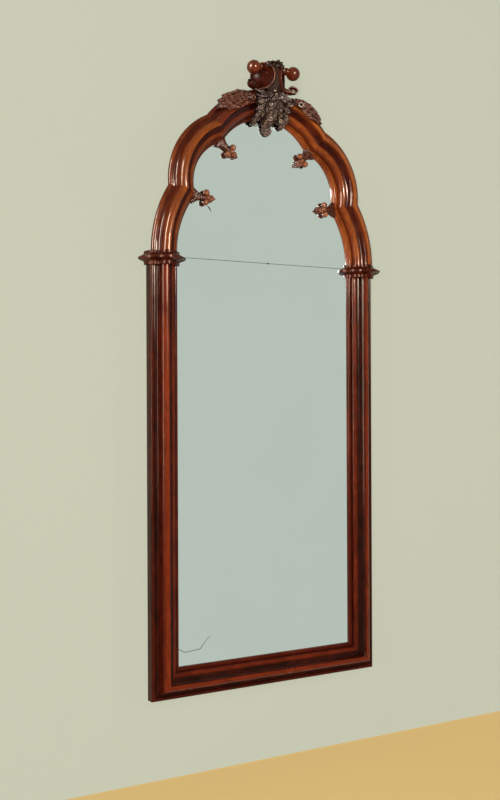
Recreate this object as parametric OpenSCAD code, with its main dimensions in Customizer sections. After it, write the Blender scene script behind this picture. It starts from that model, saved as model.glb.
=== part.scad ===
// Gothic revival pier mirror: a pine ground frame with planted mahogany
// mouldings, a five-lobed arch, carved leaves and crest, and two mirror plates.
// The front faces -Y, the wall is the plane y = 0, and the origin lies on the
// wall midway between the two hanger holes. Heights called h are measured from
// the sight edge of the bottom rail; depths called z grow from the wall forward.

/* [Sight opening] */
// Width of the sight opening between the stiles
sight_w = 676; // [640:2:720]
// Height from the bottom rail's sight edge to the springing of the arch
spring_h = 1330; // [1200:5:1500]
// Height of the joint between the two plates, below the springing
joint_drop = 14; // [10:1:20]

/* [Arch lobes] */
// Distance of the lower lobe's centre from the middle line
low_x = 40; // [34:1:46]
// Distance of the middle lobe's centre from the middle line
mid_x = 133.5; // [130:0.5:137]
// Height of the middle lobe's centre above the springing
mid_rise = 234; // [229:1:239]
// Sight radius of the middle lobe
mid_r = 143; // [140:1:147]
// Height of the crown lobe's centre above the springing
crown_rise = 265; // [260:1:270]
// Sight radius of the crown lobe
crown_r = 201.6; // [199:0.2:205]

/* [Frame section] */
// Width of the frame's face, sight edge to outer edge
face_w = 98; // [97:0.5:106]
// Thickness of the pine ground frame, which is also the depth of the rebate
core_t = 20; // [20:1:26]
// Width of the rebate behind the sight edge
rebate_w = 10; // [10:0.5:13]
// Thickness of the mahogany facing on the ground frame's outer edges
facing_t = 4; // [2:0.5:5]
// Width of the ground frame behind the arch, counted from the sight edge
arch_core_w = 78; // [66:1:80]

/* [Stile section] */
// Radius of the bead at the sight edge
bead_r = 7; // [5:0.5:7.5]
// Radius of the swell next to the bead
swell_r = 11; // [10:0.5:12]
// Height of the swell's top above the glass
swell_v = 20; // [16:1:22]
// Radius of the cove that climbs to the arris
cove_r = 23.5; // [21:0.5:24]
// Radius of the quarter round outside the arris
ovolo_r = 18; // [15:0.5:18]
// Radius of the hollow inside the outer roll
hollow_r = 10.5; // [8:0.5:10.5]
// Radius of the outer roll
roll_r = 7; // [6:0.5:8]
// Height of the outer roll's centre above the glass
roll_v = 8; // [6:0.5:10]

/* [Arch section] */
// Radius of the bead at the arch's sight edge
arch_bead_r = 8; // [6:0.5:8]
// Radius of the arch's swell
arch_swell_r = 15; // [13:0.5:15]
// Height of the arch's swell above the glass
arch_swell_v = 39; // [34:1:42]
// Radius of the arch's cove
arch_cove_r = 20; // [17:0.5:20]
// Radius of the arch's quarter round
arch_ovolo_r = 18; // [15:0.5:18]
// Radius of the arch's hollow
arch_hollow_r = 11; // [9:0.5:11]
// Radius of the arch's outer roll
arch_roll_r = 10; // [8:0.5:11]
// Height of the centre of the arch's outer roll above the glass
arch_roll_v = 16; // [13:1:18]

/* [Shaft rings] */
// Height of a shaft ring
ring_h = 44; // [40:1:56]
// Projection of a ring's nose beyond the face all round
nose_e = 28; // [22:1:32]
// Projection of a ring's beads beyond the face
ring_bead_e = 8; // [6:1:12]

/* [Crest] */
// Height of the crest's cups above the arch
cup_rise = 36; // [34:1:42]
// Radius of a cup's outer rim
rim_r = 45; // [42:0.5:46]
// Half width of the stem between the cups
stem_x = 10; // [8:0.5:11]
// Distance of the cups' inner edges from the wall
ridge_z = 104; // [98:1:108]
// Way that the cups face, away from straight forward
cup_turn = 50; // [46:1:54]
// Radius of a volute's ball
ball_r = 23.5; // [20:0.5:24]
// Distance of a volute's ball from the middle line
ball_x = 77; // [74:1:82]
// Distance of a volute's ball from the wall
ball_z = 76; // [72:1:80]

/* [Glass and back] */
// Thickness of the mirror plates
plate_t = 5; // [3:0.5:6]
// Thickness of the backboards
board_t = 6; // [4:0.5:7]
// Width by which the plates reach behind the sight edge
plate_lap = 8; // [6:0.5:9]

/* [Hanging] */
// Distance of a hanger hole from the outer edge of the frame
hanger_in = 50; // [44:1:56]
// Depth of the hanger holes below the springing of the arch
hanger_drop = 150; // [130:5:400]
// Radius of a hanger plate's hole
hanger_hole_r = 6; // [4:0.5:7]

/* [Hidden] */
$fn = 96;

half_sight = sight_w / 2;
half_w = half_sight + face_w;
hanger_x = half_w - hanger_in;
hanger_h = spring_h - hanger_drop;
wood = [0.46, 0.17, 0.08];
dark_wood = [0.33, 0.11, 0.06];
carved_wood = [0.36, 0.17, 0.12];
pine = [0.78, 0.62, 0.40];
iron = [0.25, 0.25, 0.27];
silver_glass = [0.70, 0.75, 0.71];

// Clearances
fit_gap = 0.2;
joint_gap = 0.5;
board_gap = 1;
leaf_gap = 0.9;

// Centres and sight radii of the lobes, right side, as [x, h]
low_c = [low_x, spring_h];
low_r = half_sight - low_x;
mid_c = [mid_x, spring_h + mid_rise];
crown_c = [0, spring_h + crown_rise];
crown_top = crown_c.y + crown_r + face_w;

// Crossing of two circles that lies to the right of the way from a to b
function crossing(a, ra, b, rb) =
    let (d = norm(b - a), e = (b - a) / d)
    let (k = (ra * ra - rb * rb + d * d) / (2 * d))
    let (s = sqrt(ra * ra - k * k))
    a + k * e + s * [e.y, -e.x];
cusp_low = crossing(low_c, low_r, mid_c, mid_r);
notch_low = crossing(low_c, low_r + face_w, mid_c, mid_r + face_w);
cusp_high = crossing(mid_c, mid_r, crown_c, crown_r);
notch_high = crossing(mid_c, mid_r + face_w, crown_c, crown_r + face_w);
function along(p, q, t) = p + t * (q - p);
function bearing(c, p) = atan2(p.y - c.y, p.x - c.x);

// A mitre runs on past the cusp and the notch by this share of its length
mitre_over = 0.45;
low_in = along(cusp_low, notch_low, -mitre_over);
low_out = along(cusp_low, notch_low, 1 + mitre_over);
high_in = along(cusp_high, notch_high, -mitre_over);
high_out = along(cusp_high, notch_high, 1 + mitre_over);
sweep_over = 9;

// Members of a section: bead radius, swell centre u, swell radius, swell top v,
// cove radius, quarter round radius, fillet width, hollow radius,
// roll radius, roll centre v, lap of roll and hollow, width of the backing
fillet_w = 4.5;
arch_fillet_w = 3;
roll_lap = 6;
arch_roll_lap = 3;
arch_bead_lap = 2;
stile_section = [bead_r, 2 * bead_r + swell_r, swell_r, swell_v, cove_r, ovolo_r,
    fillet_w, hollow_r, roll_r, roll_v, roll_lap, face_w];
arch_section = [arch_bead_r, 2 * arch_bead_r + arch_swell_r - arch_bead_lap,
    arch_swell_r, arch_swell_v, arch_cove_r, arch_ovolo_r, arch_fillet_w, arch_hollow_r,
    arch_roll_r, arch_roll_v, arch_roll_lap, face_w - 1.5 * arch_roll_r];
// Rise of a bead's centre above the glass, drop of the fillet below the
// quarter round's centre, and of the hollow's centre below the fillet
bead_v = 3;
fillet_drop = 3;
hollow_drop = 2.5;
arris_rise = 0.5;
deep = 140;

// Height of a section's arris above the wall
function arris_z(s) = core_t + s[3] + s[4] + arris_rise;

// Section of the moulding, x from the sight edge outward and y from the wall,
// grown outward by g; every member is a true arc
module section(s, g = 0) {
    roll_u = face_w - s[8];
    hollow_u = roll_u - s[10];
    ovolo_u = hollow_u - s[7] - s[6] - s[5];
    swell_z = core_t + s[3] - s[2];
    cove_z = core_t + s[3] + s[4];
    ovolo_z = arris_z(s) - s[5];
    fillet_z = ovolo_z - fillet_drop;
    intersection() {
        translate([-g, core_t]) square([face_w + 2 * g, deep]);
        union() {
            translate([s[0], core_t + bead_v]) circle(s[0] + g);
            translate([s[0], core_t]) square([s[11] - s[0], s[9] + g]);
            translate([s[1], swell_z]) circle(s[2] + g);
            translate([s[1] - s[2] - g, core_t]) square([s[2] + g, swell_z - core_t]);
            difference() {
                translate([s[1], core_t]) square([ovolo_u - s[1], arris_z(s) + g - core_t]);
                if (s[4] > g) translate([s[1], cove_z]) circle(s[4] - g);
            }
            intersection() {
                translate([ovolo_u, ovolo_z]) circle(s[5] + g);
                translate([ovolo_u, core_t]) square([s[5] + g, deep]);
            }
            translate([ovolo_u, core_t]) square([s[5] + g, ovolo_z - core_t]);
            translate([ovolo_u, core_t])
                square([s[5] + s[6] + g, fillet_z + g - core_t]);
            difference() {
                translate([hollow_u - s[7] - s[6], core_t])
                    square([s[7] + s[6], fillet_z - core_t]);
                if (s[7] > g)
                    translate([hollow_u, fillet_z - hollow_drop]) circle(s[7] - g);
                translate([hollow_u - s[7] + g, fillet_z - hollow_drop])
                    square([s[7], hollow_drop + 1]);
            }
            translate([roll_u, core_t + s[9]]) circle(s[8] + g);
        }
    }
}

// Places a shape drawn from the bottom sight edge at the hangers' height
module stand() {
    translate([0, 0, -hanger_h]) children();
}

// Prism from a drawing in the wall plane, between depths z0 and z1
module slab(z0, z1) {
    translate([0, -z0, 0]) rotate([90, 0, 0]) linear_extrude(z1 - z0) children();
}

// Section turned about a lobe's centre between two bearings
module lobe(c, r, a0, a1) {
    translate([c.x, 0, c.y]) rotate([90, 0, 0])
        rotate_extrude(start = a0, angle = a1 - a0, $fn = 180)
            translate([r, 0]) children();
}

module mirrored(side) {
    if (side > 0) children();
    else mirror([1, 0, 0]) children();
}

// Right-hand lobes, each cut by its mitres
module low_lobe() {
    intersection() {
        lobe(low_c, low_r, 0, bearing(low_c, cusp_low) + sweep_over) children();
        slab(-1, deep) polygon([[low_in.x, spring_h], [half_w + face_w, spring_h],
            [half_w + face_w, low_out.y], low_out, low_in]);
    }
}

module mid_lobe() {
    intersection() {
        lobe(mid_c, mid_r, bearing(mid_c, cusp_low) - sweep_over,
            bearing(mid_c, cusp_high) + sweep_over) children();
        slab(-1, deep) polygon([low_in, low_out, high_out, high_in]);
    }
}

module crown_lobe() {
    intersection() {
        lobe(crown_c, crown_r, bearing(crown_c, cusp_high) - sweep_over, 90) children();
        slab(-1, deep) polygon([high_in, high_out, [high_out.x, crown_top + face_w],
            [0, crown_top + face_w], [0, high_in.y]]);
    }
}

// Straight mouldings, mitred at the bottom corners and cut off at the rings
module stile_moulding() {
    run = spring_h - ring_h + face_w;
    intersection() {
        translate([half_sight, 0, -face_w]) linear_extrude(run)
            mirror([0, 1]) section(stile_section);
        slab(0, deep) polygon([[half_sight - 1, 1], [half_w + 1, -face_w - 1],
            [half_w + 1, spring_h], [half_sight - 1, spring_h]]);
    }
}

module rail_moulding() {
    intersection() {
        translate([-half_w, 0, 0]) rotate([90, 0, 90]) linear_extrude(2 * half_w)
            mirror([0, 1]) rotate(90) section(stile_section);
        slab(0, deep) polygon([[-half_sight, 0], [half_sight, 0],
            [half_w, -face_w], [-half_w, -face_w]]);
    }
}

// Shaft ring: two beads, a weathered sweep, a nose and an undercut
nose_t = 7;
sweep_t = 11;
under_t = 8;
ring_top_t = 8;
ring_low_t = ring_h - nose_t - sweep_t - under_t - ring_top_t;

module ring_outline(e) {
    difference() {
        union() {
            section(stile_section, e);
            section(arch_section, e - ring_bead_e / 2);
        }
        translate([-deep, 0]) square([deep, core_t + joint_gap]);
    }
}

// Tapers an outline of growth e0 into growth e1 over the height t
module ring_taper(e0, e1, t) {
    ratio = (face_w + 2 * e1) / (face_w + 2 * e0);
    translate([face_w / 2, core_t]) linear_extrude(t, scale = ratio)
        translate([-face_w / 2, -core_t]) ring_outline(e0, $fn = 40);
}

module ring_return() {
    y0 = ring_low_t;
    y1 = y0 + under_t;
    y2 = y1 + nose_t;
    y3 = y2 + sweep_t;
    polygon([[0, 0], [ring_bead_e, 0], [ring_bead_e, y0], [nose_e, y1], [nose_e, y2],
        [ring_bead_e, y3], [ring_bead_e, ring_h], [0, ring_h]]);
}

module shaft_ring() {
    base_h = spring_h - ring_h;
    translate([half_sight, 0, base_h]) mirror([0, 1, 0]) {
        linear_extrude(ring_low_t) ring_outline(ring_bead_e);
        translate([0, 0, ring_low_t]) ring_taper(ring_bead_e, nose_e, under_t);
        translate([0, 0, ring_low_t + under_t]) linear_extrude(nose_t)
            ring_outline(nose_e);
        translate([0, 0, ring_h - ring_top_t]) mirror([0, 0, 1])
            ring_taper(ring_bead_e, nose_e, sweep_t);
        translate([0, 0, ring_h - ring_top_t]) linear_extrude(ring_top_t)
            ring_outline(ring_bead_e);
    }
    translate([half_w, 0, base_h]) slab(0, core_t) ring_return();
}

// Trefoil leaf on a short stem, growing out of a cusp towards a bearing
lobe_r = 12.5;
stem_r = 6;
stem_t = 7;
stem_root = 14;
knot_r = 9;
leaf_tip = 26;
leaf_lift = core_t + 1;

module cusp_leaf(cusp, c_a, r_a, c_b, r_b, aim, reach) {
    knot = cusp + reach * [cos(aim), sin(aim)];
    intersection() {
        slab(leaf_lift, leaf_lift + lobe_r) union() {
            translate(c_a) circle(r_a - fit_gap, $fn = 180);
            translate(c_b) circle(r_b - fit_gap, $fn = 180);
        }
        union() {
            slab(leaf_lift, leaf_lift + stem_t)
                polygon([cusp + stem_root * [cos(aim + 90), sin(aim + 90)],
                    cusp + stem_root * [cos(aim - 90), sin(aim - 90)],
                    knot + stem_r * [cos(aim - 90), sin(aim - 90)],
                    knot + stem_r * [cos(aim + 90), sin(aim + 90)]]);
            for (side = [-1, 1])
                translate([knot.x, -leaf_lift, knot.y])
                    translate(lobe_r * [cos(aim + side * 95), 0, sin(aim + side * 95)])
                        rotate([90, 0, 0]) sphere(lobe_r - 0.5, $fn = 48);
            translate([knot.x, -leaf_lift, knot.y]) rotate([0, 90 - aim, 0])
                cylinder(h = leaf_tip, r1 = lobe_r * 0.8, r2 = 1.5, $fn = 48);
            translate([knot.x, -leaf_lift, knot.y]) rotate([90, 0, 0])
                sphere(knot_r, $fn = 48);
        }
    }
}

// Height of the arch moulding's surface, bridged over its hollows
drawn_w = 98;
inner_env = [[-60, 2], [-5, 3.5], [0, 7], [3, 11], [8, 13.5], [12.5, 26], [16, 33],
    [20, 37.8], [29, 40.8], [47, 60], [54, 61], [60, 60]];
outer_env = [[66, 56], [71, 48], [75, 40], [84, 28.5], [92, 27], [97, 21], [100, 12]];
grown_w = face_w - drawn_w;
crown_env = concat(inner_env, [for (e = outer_env)
    if (e.x + grown_w > inner_env[len(inner_env) - 1].x) e + [grown_w, 0]]);
function env(p) = core_t + lookup(norm([p.x, p.y - crown_c.y]) - crown_r, crown_env);

// Closed solid between two grids of points with the same rows and columns
module grid_solid(top, bottom) {
    rows = len(top);
    cols = len(top[0]);
    n = rows * cols;
    pts = concat([for (r = top) each r], [for (r = bottom) each r]);
    cells = [for (i = [0:rows - 2], j = [0:cols - 2]) i * cols + j];
    rim = concat([for (j = [0:cols - 1]) j],
        [for (i = [1:rows - 1]) i * cols + cols - 1],
        [for (j = [cols - 2:-1:0]) (rows - 1) * cols + j],
        [for (i = [rows - 2:-1:1]) i * cols]);
    m = len(rim);
    polyhedron(points = pts, convexity = 6, faces = concat(
        [for (c = cells) [c, c + 1, c + cols + 1]],
        [for (c = cells) [c, c + cols + 1, c + cols]],
        [for (c = cells) [n + c, n + c + cols + 1, n + c + 1]],
        [for (c = cells) [n + c, n + c + cols, n + c + cols + 1]],
        [for (k = [0:m - 1]) [rim[k], n + rim[k], rim[(k + 1) % m]]],
        [for (k = [0:m - 1]) [rim[(k + 1) % m], n + rim[k], n + rim[(k + 1) % m]]]));
}

// Carved leaf lying on the crown moulding: a grid of spots [x, h] on the wall
// plane and the height of the carving over the moulding at each spot
leaf_rows = 24;
leaf_cols = 12;
leaf_edge = 4;
leaf_teeth = 5;
leaf_bite = 0.26;
widest = 0.6;

function lift_grid(spots, relief) = [for (i = [0:leaf_rows])
    [for (j = [0:leaf_cols])
        let (a = spots[i][j])
        [a.x, -(env(a) + leaf_gap + (relief == undef ? 0 : relief[i][j])), a.y]]];
module carved_leaf(spots, relief) {
    grid_solid(lift_grid(spots, relief), lift_grid(spots));
}

// Half width along a leaf, from [at the start, at its widest, at the tip]
function leaf_width(s, w) =
    (s < widest ? along(w[0], w[1], sin(90 * s / widest))
        : along(w[1], w[2], pow((s - widest) / (1 - widest), 2)))
    * (1 - leaf_bite * abs(sin(180 * leaf_teeth * s)));

// Carving: a rib down the middle, veins to the teeth, and a swell at the start
function leaf_relief(s, t, rib, swell, lean) =
    leaf_edge + rib * sin(180 * (0.15 + 0.75 * s)) * pow(cos(86 * t), 0.8)
        * (1 - 0.35 * pow(sin(180 * (leaf_teeth * s + 1.4 * abs(t))), 2))
    + swell * pow(1 - s, 3) * (1 - 0.5 * t * t)
    + lean * max(0, t) * sin(180 * (0.1 + 0.8 * s));
function leaf_reliefs(rib, swell, lean) = [for (i = [0:leaf_rows])
    [for (j = [0:leaf_cols])
        leaf_relief(i / leaf_rows, 2 * j / leaf_cols - 1, rib, swell, lean)]];

// Leaf that runs straight from p to q, with its own width on either side
function straight_spots(p, q, w_in, w_out) = [for (i = [0:leaf_rows])
    let (s = i / leaf_rows, e = (q - p) / norm(q - p))
    [for (j = [0:leaf_cols])
        let (t = 2 * j / leaf_cols - 1)
        along(p, q, s) + [-e.y, e.x] * (t * leaf_width(s, t < 0 ? w_in : w_out))]];

// Leaf that follows the crown from bearing a0 to a1, u0 outside the sight edge
function round_spots(a0, a1, u0, w_in, w_out) = [for (i = [0:leaf_rows])
    let (s = i / leaf_rows, a = a0 + s * (a1 - a0))
    [for (j = [0:leaf_cols])
        let (t = 2 * j / leaf_cols - 1)
        crown_c + (crown_r + u0 + t * leaf_width(s, t < 0 ? w_in : w_out)) * [sin(a), cos(a)]]];

leaf_top = crown_top - 10;
apex_drop = 54;
apex_tip = [0, crown_c.y + crown_r - apex_drop];
apex_width = [15, 27, 6];
apex_rib = 13;
apex_swell = 38;
side_foot = [22, leaf_top - 12];
side_tip = [60, crown_c.y + crown_r - apex_drop / 2];
side_in = [5, 15, 4];
side_out = [14, 40, 8];
side_rib = 12;
side_swell = 24;
shoulder_from = 16.5;
shoulder_to = 43.5;
shoulder_u = face_w - 18;
shoulder_in = [22, 27, 13];
shoulder_out = [24, 27, 13];
shoulder_rib = 20;
shoulder_lean = 14;

module apex() {
    carved_leaf(straight_spots([0, leaf_top], apex_tip, apex_width, apex_width),
        leaf_reliefs(apex_rib, apex_swell, 0));
}
module side_leaf() {
    carved_leaf(straight_spots(side_foot, side_tip, side_in, side_out),
        leaf_reliefs(side_rib, side_swell, 0));
}
module shoulder_leaf() {
    carved_leaf(round_spots(shoulder_from, shoulder_to, shoulder_u, shoulder_in,
        shoulder_out), leaf_reliefs(shoulder_rib, 0, shoulder_lean));
}

// Crest: two cupped wings back to back on a stem, on a block over the arch
roll_top = arch_roll_v + arch_roll_r + fit_gap;
cup_h = crown_top + cup_rise;
cup_out = 25;
cup_r = 48.4;
wing_x = stem_x + 2 * rim_r * cos(cup_turn);
wing_z = ridge_z - 2 * rim_r * sin(cup_turn);
wing_back = 12;
stem_back = 40;
stem_front = ridge_z - 18;
stem_rise = 28;
stem_top = cup_h + stem_rise;
foot_r = 20;
foot_tip_r = 6;
foot_z = 76;
foot_rise = 40;
finial_r = 15;
finial_rise = 37;
finial_h = cup_h + finial_rise;
finial_z = 80;
block_w = 64;
block_rise = 44;
strap_t = 3;
strap_w = 25;
arm_r = 13;
arm_z = 62;
arm_rise = 38;
arm_h = cup_h + arm_rise;
ball_rise = 21;
ball_h = cup_h + ball_rise;

// Puts a shape on the middle of the right wing's face, with Z out of the face
module wing_face() {
    translate([(stem_x + wing_x) / 2, -(ridge_z + wing_z) / 2, cup_h])
        rotate([90, 0, cup_turn]) children();
}

module wing_plan(g) {
    polygon([[0, -wing_back + g], [wing_x + g, -wing_back + g], [wing_x + g, -wing_z],
        [stem_x + g, -ridge_z], [0, -ridge_z]]);
}

module wing() {
    difference() {
        intersection() {
            translate([0, 0, cup_h - rim_r]) linear_extrude(2 * rim_r) wing_plan(0);
            wing_face() cylinder(h = 2 * deep, r = rim_r, center = true);
        }
        wing_face() translate([0, 0, cup_out]) sphere(cup_r);
    }
}

module ball_and_arm(g) {
    reach = [ball_x, arm_z - ball_z, ball_h - arm_h];
    difference() {
        union() {
            translate([ball_x, -ball_z, ball_h]) sphere(ball_r + g);
            translate([0, -arm_z, arm_h])
                rotate([0, acos(reach.z / norm(reach)), atan2(reach.y, reach.x)])
                    cylinder(h = norm(reach), r = arm_r + g);
        }
        translate([stem_x + fit_gap - g - deep, -2 * deep, crown_c.y])
            cube([deep, 2 * deep, deep * 4]);
    }
}

// Space that the arch takes up under what stands on it
module over_arch() {
    translate([0, 1, crown_c.y]) rotate([90, 0, 0])
        cylinder(h = core_t + 1, r = crown_r + arch_core_w, $fn = 180);
    translate([0, -core_t, crown_c.y]) rotate([90, 0, 0])
        cylinder(h = roll_top, r = crown_r + face_w + fit_gap, $fn = 180);
}

module crest_solid() {
    difference() {
        union() {
            for (side = [-1, 1]) mirrored(side) wing();
            translate([-block_w / 2, -core_t - roll_top, crown_top - face_w / 2])
                cube([block_w, core_t + roll_top - strap_t, face_w / 2 + block_rise]);
            translate([-stem_x, -stem_front, crown_top])
                cube([2 * stem_x, stem_front - stem_back, stem_top - crown_top]);
            translate([0, -foot_z, crown_top - 4])
                cylinder(h = foot_rise, r1 = foot_r, r2 = foot_tip_r);
            translate([0, -finial_z, finial_h]) sphere(finial_r);
        }
        over_arch();
        for (side = [-1, 1]) mirrored(side) ball_and_arm(fit_gap);
    }
}

curl_x = 81;
curl_r = 14.5;
curl_z = 65;
curl_t = 28;
curl_rise = -2.5;
curl_cove = 46;
cove_x = 45;

module curl() {
    curl_c = [curl_x, crown_top + curl_rise];
    difference() {
        slab(curl_z - curl_t / 2, curl_z + curl_t / 2) difference() {
            union() {
                translate(curl_c) circle(curl_r);
                difference() {
                    translate([stem_x, crown_top - curl_r])
                        square([curl_x - stem_x, 2 * curl_r + curl_rise]);
                    translate([cove_x, cup_h]) circle(curl_cove);
                }
            }
            translate(crown_c) circle(crown_r + face_w + fit_gap, $fn = 180);
            translate(curl_c) circle(curl_r / 3);
        }
        translate([0, 0, crown_c.y]) linear_extrude(deep * 4) wing_plan(fit_gap);
    }
}

// Ground frame
tenon_t = 8;
tenon_l = 40;
tenon_w = 56;
dowel_r = 4;
dowel_l = 60;
core_u = (rebate_w + arch_core_w) / 2;
spring_dowel = [half_sight + core_u, spring_h];
low_dowel = along(cusp_low, notch_low, core_u / face_w);
high_dowel = along(cusp_high, notch_high, core_u / face_w);
dowels = [[spring_dowel, 90], [low_dowel, 90 + bearing(cusp_low, notch_low)],
    [high_dowel, 90 + bearing(cusp_high, notch_high)]];
slip_t = 5;
board_back = core_t - plate_t - slip_t - board_t;
pin_r = 1;
pin_l = 16;
pin_out = 6;
pin_rows = 5;
hanger_pocket_r = 11;
plate_gauge = 3;
screw_r = 2;
screw_l = 16;
screw_head_r = 4;
hanger_w = 30;
hanger_l = 84;
hanger_pitch = 60;

module dowel_set(r, l) {
    for (d = dowels)
        translate([d[0].x, -core_t / 2, d[0].y]) rotate([0, 90 - d[1], 0])
            cylinder(h = l, r = r, center = true);
}

pin_low = 60;
pin_high = 140;
function pin_heights() = [for (i = [0:pin_rows - 1])
    pin_low + i * (spring_h - pin_low - pin_high) / (pin_rows - 1)];

module pin_set(r, inside) {
    for (h = pin_heights())
        translate([half_sight + rebate_w - inside, -(board_back - pin_r), h])
            rotate([0, 90, 0]) cylinder(h = pin_l + inside - pin_out, r = r, $fn = 24);
}

module hanger_screw_set(r, head, l) {
    for (s = [-1, 1]) translate([hanger_x, 0, hanger_h + s * hanger_pitch / 2])
        rotate([90, 0, 0]) {
            cylinder(h = screw_head_r - screw_r, r1 = head, r2 = r, $fn = 32);
            cylinder(h = l, r = r, $fn = 32);
        }
}

module stile_core() {
    difference() {
        translate([half_sight + rebate_w, -core_t, facing_t - face_w])
            cube([face_w - rebate_w - facing_t, core_t, spring_h + face_w - facing_t]);
        translate([half_sight + rebate_w - 1, -(core_t + tenon_t) / 2 - fit_gap,
            -(face_w + rebate_w + tenon_w) / 2 - fit_gap])
            cube([tenon_l + 1 + fit_gap, tenon_t + 2 * fit_gap, tenon_w + 2 * fit_gap]);
        dowel_set(dowel_r, dowel_l);
        pin_set(pin_r, 1);
        translate([hanger_x, 0, hanger_h]) slab(-1, plate_gauge)
            hanger_outline(fit_gap);
        translate([hanger_x, 0, hanger_h]) slab(0, core_t - 3)
            circle(hanger_pocket_r);
        hanger_screw_set(screw_r, screw_head_r, screw_l);
    }
}

module hanger_outline(g) {
    for (s = [-1, 1]) translate([0, s * (hanger_l - hanger_w) / 2])
        circle(hanger_w / 2 + g);
    square([hanger_w + 2 * g, hanger_l - hanger_w], center = true);
}

module hanger_plate() {
    difference() {
        translate([hanger_x, 0, hanger_h]) slab(0, plate_gauge)
            hanger_outline(0);
        translate([hanger_x, 1, hanger_h]) rotate([90, 0, 0])
            cylinder(h = plate_gauge + 2, r = hanger_hole_r);
        hanger_screw_set(screw_r, screw_head_r, screw_l);
    }
}

module core_section() {
    translate([rebate_w, 0]) square([arch_core_w - rebate_w, core_t]);
}

module strap_screw_set(r, head, l) {
    for (h = [crown_c.y + crown_r + core_u, crown_top + 12])
        for (s = [-1, 1]) translate([s * strap_w / 5, 0, h + s * strap_w / 4])
            rotate([90, 0, 0]) {
                cylinder(h = screw_head_r - screw_r, r1 = head, r2 = r, $fn = 32);
                cylinder(h = l, r = r, $fn = 32);
            }
}

strap_bottom = crown_c.y + crown_r + rebate_w + 12;
strap_top = crown_top + 30;

module strap_outline(g) {
    translate([-strap_w / 2 - g, strap_bottom - g])
        square([strap_w + 2 * g, strap_top - strap_bottom + 2 * g]);
}

// Outline of the arched opening grown by g, above the height h0
module arch_opening(g, h0) {
    intersection() {
        union() {
            for (side = [-1, 1]) {
                translate([side * low_c.x, low_c.y]) circle(low_r + g, $fn = 180);
                translate([side * mid_c.x, mid_c.y]) circle(mid_r + g, $fn = 180);
            }
            translate(crown_c) circle(crown_r + g, $fn = 180);
            translate([-half_sight - g, h0])
                square([sight_w + 2 * g, max(spring_h - h0, 1)]);
        }
        translate([-half_w, h0]) square([2 * half_w, crown_top]);
    }
}

joint_h = spring_h - joint_drop;
batten_h = 40;
batten_z = 2;
slip_l = 60;
slip_w = rebate_w - 1;

module stile_moulding_left() { color(wood) stand() mirrored(-1) stile_moulding(); }
module stile_moulding_right() { color(wood) stand() mirrored(1) stile_moulding(); }
module bottom_rail_moulding() { color(wood) stand() rail_moulding(); }
module lower_foil_left() { color(wood) stand() mirrored(-1) low_lobe() section(arch_section); }
module lower_foil_right() { color(wood) stand() low_lobe() section(arch_section); }
module middle_foil_left() { color(wood) stand() mirrored(-1) mid_lobe() section(arch_section); }
module middle_foil_right() { color(wood) stand() mid_lobe() section(arch_section); }
module crown_foil_left() { color(wood) stand() mirrored(-1) crown_lobe() section(arch_section); }
module crown_foil_right() { color(wood) stand() crown_lobe() section(arch_section); }
module shaft_ring_left() { color(dark_wood) stand() mirrored(-1) shaft_ring(); }
module shaft_ring_right() { color(dark_wood) stand() shaft_ring(); }

low_aim = 186;
low_reach = 33;
high_aim = 221;
high_reach = 36;
module lower_cusp_leaf() {
    cusp_leaf(cusp_low, low_c, low_r, mid_c, mid_r, low_aim, low_reach);
}
module upper_cusp_leaf() {
    cusp_leaf(cusp_high, mid_c, mid_r, crown_c, crown_r, high_aim, high_reach);
}
module cusp_leaf_lower_left() { color(carved_wood) stand() mirrored(-1) lower_cusp_leaf(); }
module cusp_leaf_lower_right() { color(carved_wood) stand() lower_cusp_leaf(); }
module cusp_leaf_upper_left() { color(carved_wood) stand() mirrored(-1) upper_cusp_leaf(); }
module cusp_leaf_upper_right() { color(carved_wood) stand() upper_cusp_leaf(); }

module apex_leaf() { color(carved_wood) stand() apex(); }
module apex_side_leaf_left() { color(carved_wood) stand() mirrored(-1) side_leaf(); }
module apex_side_leaf_right() { color(carved_wood) stand() side_leaf(); }
module shoulder_leaf_left() { color(carved_wood) stand() mirrored(-1) shoulder_leaf(); }
module shoulder_leaf_right() { color(carved_wood) stand() shoulder_leaf(); }

module crest_body() {
    color(dark_wood) stand() difference() {
        crest_solid();
        strap_screw_set(screw_r, screw_head_r, screw_l);
    }
}
module crest_volute_left() { color(wood) stand() mirrored(-1) ball_and_arm(0); }
module crest_volute_right() { color(wood) stand() ball_and_arm(0); }
module crest_curl_left() { color(wood) stand() mirrored(-1) curl(); }
module crest_curl_right() { color(wood) stand() curl(); }

module stile_core_left() { color(pine) stand() mirrored(-1) stile_core(); }
module stile_core_right() { color(pine) stand() stile_core(); }
module bottom_rail_core() {
    color(pine) stand() {
        translate([-half_sight - rebate_w, -core_t, facing_t - face_w])
            cube([sight_w + 2 * rebate_w, core_t, face_w - facing_t - rebate_w]);
        translate([-half_sight - rebate_w - tenon_l, -(core_t + tenon_t) / 2,
            -(face_w + rebate_w + tenon_w) / 2])
            cube([sight_w + 2 * (rebate_w + tenon_l), tenon_t, tenon_w]);
    }
}
module arch_core_low() {
    difference() {
        low_lobe() core_section();
        dowel_set(dowel_r, dowel_l);
    }
}
module arch_core_mid() {
    difference() {
        mid_lobe() core_section();
        dowel_set(dowel_r, dowel_l);
    }
}
module lower_arch_core_left() { color(pine) stand() mirrored(-1) arch_core_low(); }
module lower_arch_core_right() { color(pine) stand() arch_core_low(); }
module middle_arch_core_left() { color(pine) stand() mirrored(-1) arch_core_mid(); }
module middle_arch_core_right() { color(pine) stand() arch_core_mid(); }
module crown_core() {
    color(pine) stand() difference() {
        for (side = [-1, 1]) mirrored(side) crown_lobe() core_section();
        for (side = [-1, 1]) mirrored(side) dowel_set(dowel_r, dowel_l);
        slab(-1, strap_t) strap_outline(fit_gap);
        strap_screw_set(screw_r, screw_head_r, screw_l);
    }
}

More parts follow.
